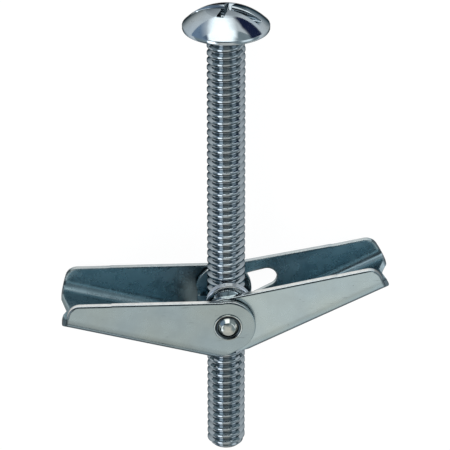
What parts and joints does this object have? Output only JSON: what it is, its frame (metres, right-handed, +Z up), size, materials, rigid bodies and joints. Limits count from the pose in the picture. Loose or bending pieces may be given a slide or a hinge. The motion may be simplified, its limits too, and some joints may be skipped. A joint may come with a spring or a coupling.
{
  "type": "spring toggle bolt",
  "caption": "Mushroom-head machine bolt with a trunnion nut and spring-loaded folding channel wings that open behind a hollow wall.",
  "frame": {"origin": "on the bolt's axis, in the plane of the head's underside", "axes": "+Y along the bolt towards the head; the wings stand out towards -X (outer wing) and +X (inner wing); the wings' pivot axis is parallel to Z, and +Z is up as the part lies on its rear side, with the spring's side up"},
  "size_m": [0.0534, 0.0786, 0.0168],
  "materials": {
    "zinc_bolt": "bright blue-grey zinc plate, smooth rolled thread",
    "zinc_nut": "bright zinc plate",
    "zinc_sheet": "grey-green passivated zinc on cold-rolled sheet, faintly mottled",
    "spring_wire": "plated spring wire"
  },
  "bodies": {
    "bolt": {"bolt": "zinc_bolt"},
    "nut": {"trunnion_nut": "zinc_nut", "torsion_spring": "spring_wire"},
    "outer_wing": {"outer_wing": "zinc_sheet"},
    "inner_wing": {"inner_wing": "zinc_sheet"}
  },
  "joints": [
    {"name": "nut_travel", "type": "slide", "parent": "bolt", "child": "nut", "axis": [0, 1, 0], "range_m": [-0.018, 0.02]},
    {"name": "outer_wing_fold", "type": "hinge", "parent": "nut", "child": "outer_wing", "pos_m": [0, -0.0496, 0], "axis": [0, 0, -1], "range_deg": [0, 75.7], "stiffness_Nm_per_rad": 0.012, "springref_deg": -34.38, "deforming": ["torsion_spring"]},
    {"name": "inner_wing_fold", "type": "hinge", "parent": "nut", "child": "inner_wing", "pos_m": [0, -0.0496, 0], "axis": [0, 0, 1], "range_deg": [0, 63.9], "stiffness_Nm_per_rad": 0.012, "springref_deg": -34.38, "deforming": ["torsion_spring"]}
  ]
}
